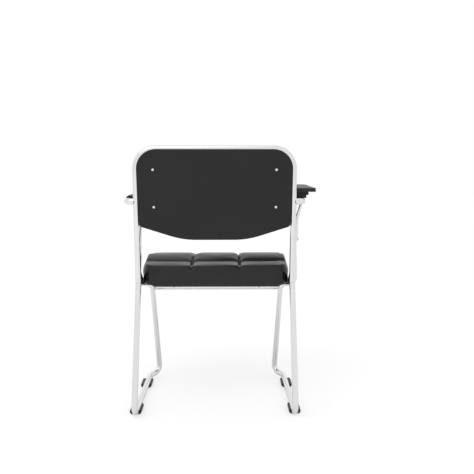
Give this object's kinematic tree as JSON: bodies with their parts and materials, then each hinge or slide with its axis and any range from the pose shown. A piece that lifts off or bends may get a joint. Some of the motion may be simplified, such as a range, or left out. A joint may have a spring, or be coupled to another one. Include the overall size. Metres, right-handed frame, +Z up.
{
  "type": "tablet arm chair",
  "caption": "Chair on a bent chromed tube sled frame, with quilted seat, padded backrest and a writing tablet hinged on the right arm so that it folds up and outwards.",
  "frame": {"origin": "on the floor, at the bottom centre of the box around the whole chair with its tablet down", "axes": "+X to the sitter's left, -Y to the front of the chair, +Z up"},
  "size_m": [0.6026, 0.577, 0.8262],
  "materials": {
    "chrome_tube": "bright chromed tube",
    "black_plastic": "black moulded plastic",
    "back_plastic": "dark grey grained plastic",
    "tablet_plastic": "dark grey fine grained plastic",
    "black_board": "plywood stained black",
    "vinyl": "dark grey vinyl sewn in channels",
    "black_steel": "black powder coat",
    "screw_steel": "zinc plated",
    "buffer_rubber": "black rubber"
  },
  "bodies": {
    "chair": {"back_loop": "chrome_tube", "sled_left": "chrome_tube", "sled_right": "chrome_tube", "front_leg_left": "chrome_tube", "front_leg_right": "chrome_tube", "arm_left": "chrome_tube", "arm_right": "chrome_tube", "cross_tube": "chrome_tube", "tablet_brace": "chrome_tube", "glide_rear_left": "black_plastic", "glide_front_left": "black_plastic", "glide_rear_right": "black_plastic", "glide_front_right": "black_plastic", "left_arm_cap": "black_plastic", "tablet_saddle": "black_plastic", "back_shell": "back_plastic", "seat_board": "black_board", "back_board": "black_board", "seat_cushion": "vinyl", "back_cushion": "vinyl", "seat_support_left": "black_steel", "seat_support_right": "black_steel", "seat_bracket_left": "black_steel", "seat_bracket_right": "black_steel", "brace_screws": "black_steel", "seat_screws": "screw_steel", "back_screws": "screw_steel", "cap_screws": "screw_steel", "saddle_bolts": "screw_steel", "hinge_pin": "screw_steel", "rest_buffers": "buffer_rubber"},
    "tablet_leaf": {"hinge_plate": "black_steel", "tablet": "tablet_plastic", "tablet_screws": "screw_steel"}
  },
  "joints": [
    {"name": "tablet_hinge", "type": "hinge", "parent": "chair", "child": "tablet_leaf", "pos_m": [-0.27375, 0.06401, 0.6765], "axis": [0, -1, 0], "range_deg": [0, 105]}
  ]
}
